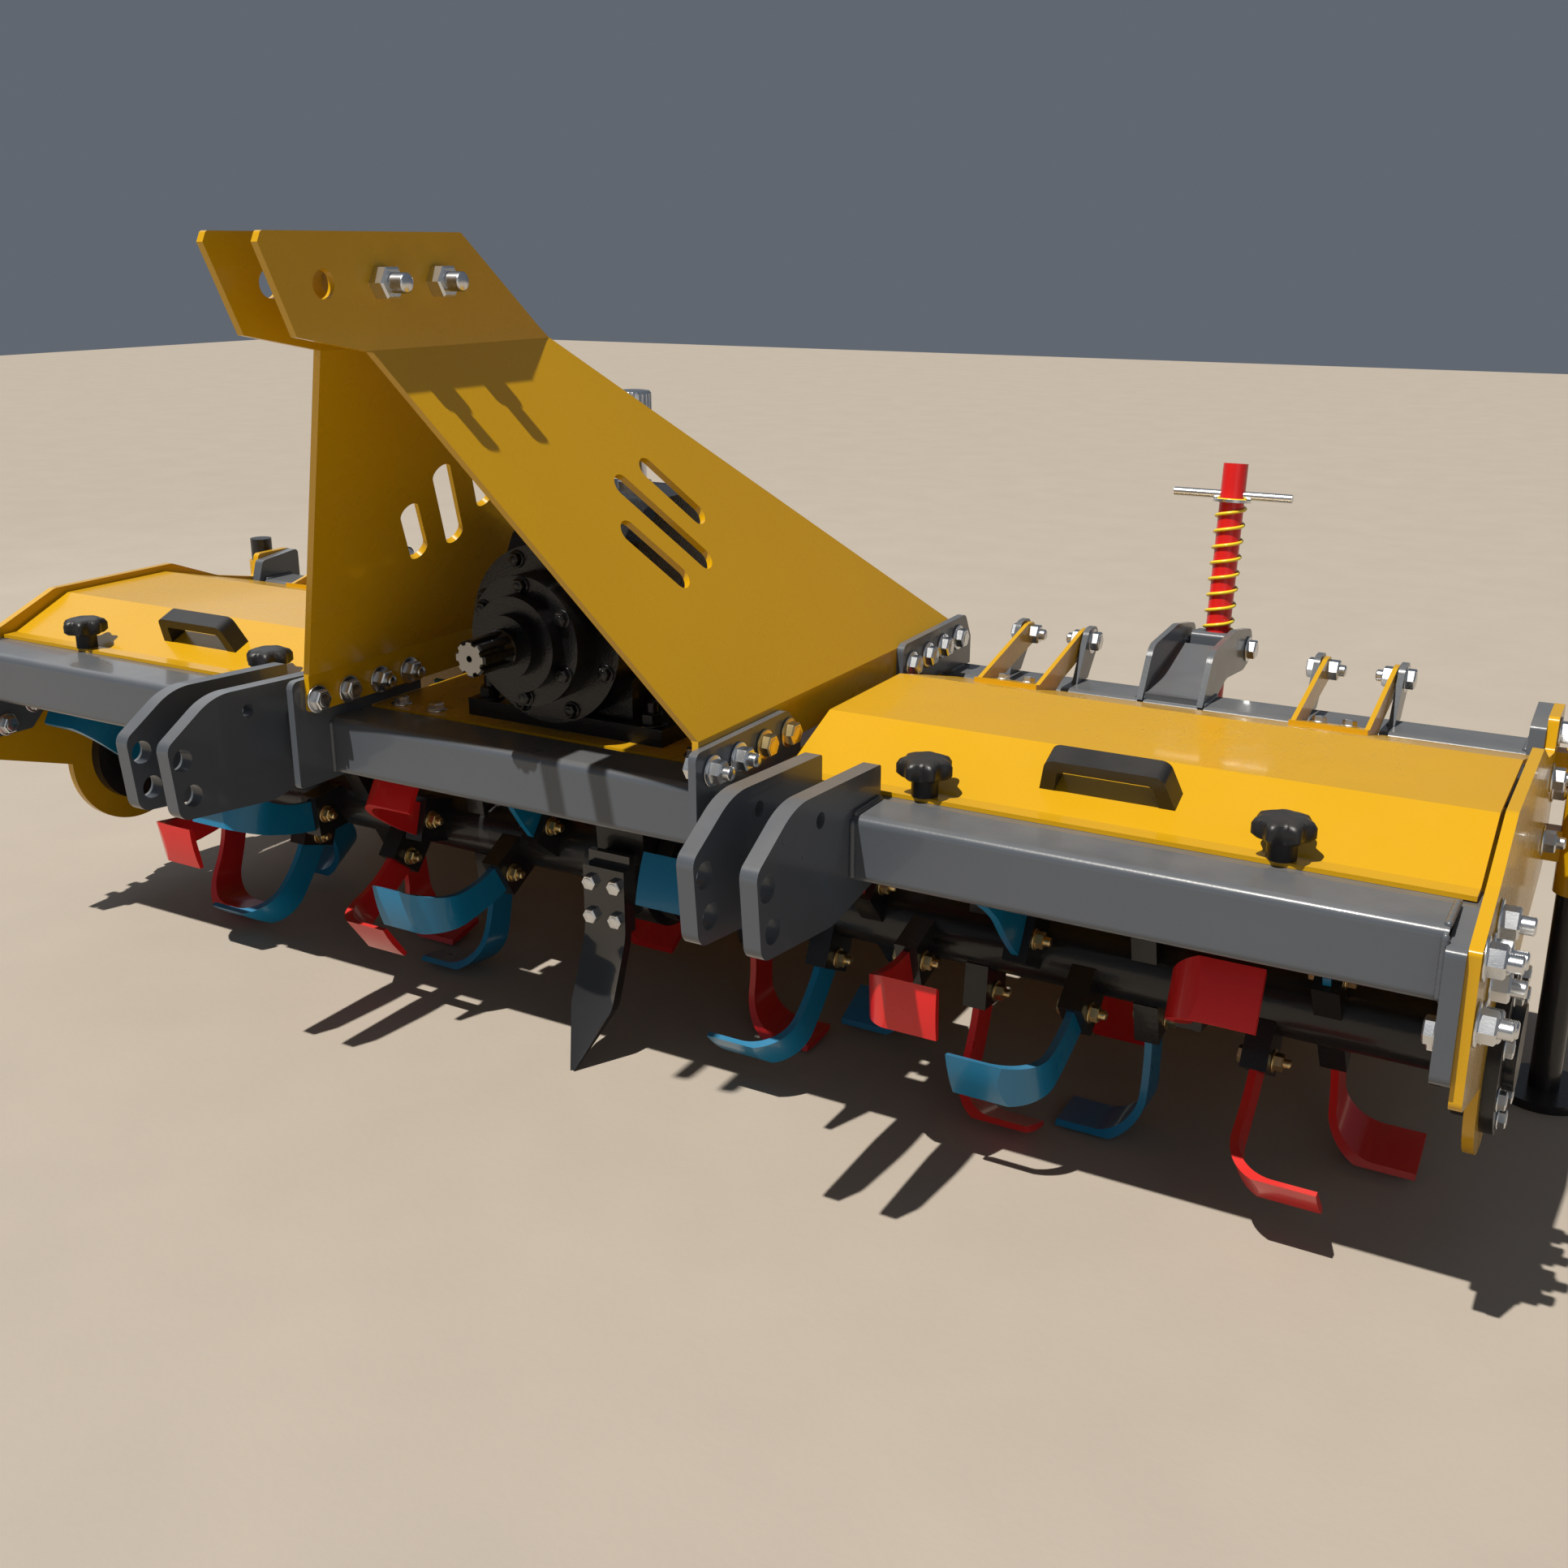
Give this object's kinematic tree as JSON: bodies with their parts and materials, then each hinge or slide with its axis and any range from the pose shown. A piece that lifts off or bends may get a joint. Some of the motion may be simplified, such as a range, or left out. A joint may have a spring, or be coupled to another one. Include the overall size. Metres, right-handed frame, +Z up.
{
  "type": "rotary tiller",
  "caption": "Towed three-point rotary tiller with a mast, gearbox, tined rotor, hinged covers, rear board and parking legs.",
  "frame": {"origin": "under the middle of the machine, on the ground", "axes": "+X to the right seen from the front, +Y to the back, +Z up"},
  "size_m": [2.368, 1.2913, 1.062],
  "materials": {
    "frame_paint": "gloss paint",
    "yellow_paint": "gloss paint",
    "black_paint": "gloss paint",
    "zinc": "bright zinc plate",
    "bare_steel": "machined",
    "blue_paint": "gloss paint",
    "red_paint": "gloss paint",
    "spring_yellow": "gloss paint",
    "black_plastic": "moulded"
  },
  "bodies": {
    "frame": {"front_beam": "frame_paint", "rear_beam": "frame_paint", "beam_end_plates": "frame_paint", "side_plate_left": "yellow_paint", "side_plate_right": "yellow_paint", "mast_plate_left": "yellow_paint", "mast_plate_right": "yellow_paint", "mast_bolts": "zinc", "mast_lugs": "frame_paint", "hitch_plates_left": "frame_paint", "hitch_plates_right": "frame_paint", "centre_deck": "yellow_paint", "gearbox_housing": "black_paint", "gearbox_input_cap": "black_paint", "gearbox_rear_cover": "black_paint", "oil_cap": "zinc", "gear_case": "black_paint", "share_plate": "black_paint", "share_point": "black_paint", "bearing_housing_left": "black_paint", "bearing_housing_right": "black_paint", "hatch_ledges": "frame_paint", "hatch_hinge_lugs": "frame_paint", "spring_brackets": "frame_paint", "leg_sleeves": "yellow_paint", "board_hinge_lugs": "frame_paint"},
    "rotor": {"rotor_tube": "black_paint", "tines_blue": "blue_paint", "tines_red": "red_paint"},
    "input": {"pto_shaft": "bare_steel"},
    "board": {"rear_board": "yellow_paint"},
    "hatch_left": {"hatch_cover_left": "yellow_paint", "hatch_brackets_left": "yellow_paint", "hatch_handle_left": "black_plastic", "hatch_knobs_left": "black_plastic"},
    "trunnion_left": {"trunnion_left": "frame_paint"},
    "rod_left": {"spring_rod_left": "red_paint", "rod_spring_left": "spring_yellow", "rod_cross_pin_left": "zinc"},
    "leg_left": {"parking_leg_left": "zinc"},
    "hatch_right": {"hatch_cover_right": "yellow_paint", "hatch_brackets_right": "yellow_paint", "hatch_handle_right": "black_plastic", "hatch_knobs_right": "black_plastic"},
    "trunnion_right": {"trunnion_right": "frame_paint"},
    "rod_right": {"spring_rod_right": "red_paint", "rod_spring_right": "spring_yellow", "rod_cross_pin_right": "zinc"},
    "leg_right": {"parking_leg_right": "zinc"}
  },
  "joints": [
    {"name": "rotor_spin", "type": "hinge", "parent": "frame", "child": "rotor", "pos_m": [0, 0.0145, 0.23], "axis": [1, 0, 0], "continuous": true},
    {"name": "input_spin", "type": "hinge", "parent": "frame", "child": "input", "pos_m": [0, -0.2855, 0.598], "axis": [0, 1, 0], "continuous": true},
    {"name": "board_hinge", "type": "hinge", "parent": "frame", "child": "board", "pos_m": [0, 0.4095, 0.42], "axis": [1, 0, 0], "range_deg": [0, 30]},
    {"name": "hatch_hinge_left", "type": "hinge", "parent": "frame", "child": "hatch_left", "pos_m": [-0.637, 0.4045, 0.52], "axis": [-1, 0, 0], "range_deg": [0, 95]},
    {"name": "trunnion_tilt_left", "type": "hinge", "parent": "frame", "child": "trunnion_left", "pos_m": [-0.6205, 0.5345, 0.503], "axis": [1, 0, 0], "range_deg": [0, 18.7]},
    {"name": "rod_slide_left", "type": "slide", "parent": "trunnion_left", "child": "rod_left", "axis": [0, 0.1151, 0.9934], "range_m": [0, 0.0671]},
    {"name": "leg_slide_left", "type": "slide", "parent": "frame", "child": "leg_left", "axis": [0, 0, 1], "range_m": [0, 0.18]},
    {"name": "hatch_hinge_right", "type": "hinge", "parent": "frame", "child": "hatch_right", "pos_m": [0.637, 0.4045, 0.52], "axis": [-1, 0, 0], "range_deg": [0, 95]},
    {"name": "trunnion_tilt_right", "type": "hinge", "parent": "frame", "child": "trunnion_right", "pos_m": [0.6205, 0.5345, 0.503], "axis": [1, 0, 0], "range_deg": [0, 18.7]},
    {"name": "rod_slide_right", "type": "slide", "parent": "trunnion_right", "child": "rod_right", "axis": [0, 0.1151, 0.9934], "range_m": [0, 0.0671]},
    {"name": "leg_slide_right", "type": "slide", "parent": "frame", "child": "leg_right", "axis": [0, 0, 1], "range_m": [0, 0.18]}
  ],
  "couplings": [
    {"joint": "input_spin", "follows": "rotor_spin", "ratio": 2.5},
    {"joint": "trunnion_tilt_left", "follows": "board_hinge", "ratio": 0.62},
    {"joint": "rod_slide_left", "follows": "board_hinge", "m_per_rad": 0.128},
    {"joint": "trunnion_tilt_right", "follows": "board_hinge", "ratio": 0.62},
    {"joint": "rod_slide_right", "follows": "board_hinge", "m_per_rad": 0.128}
  ]
}
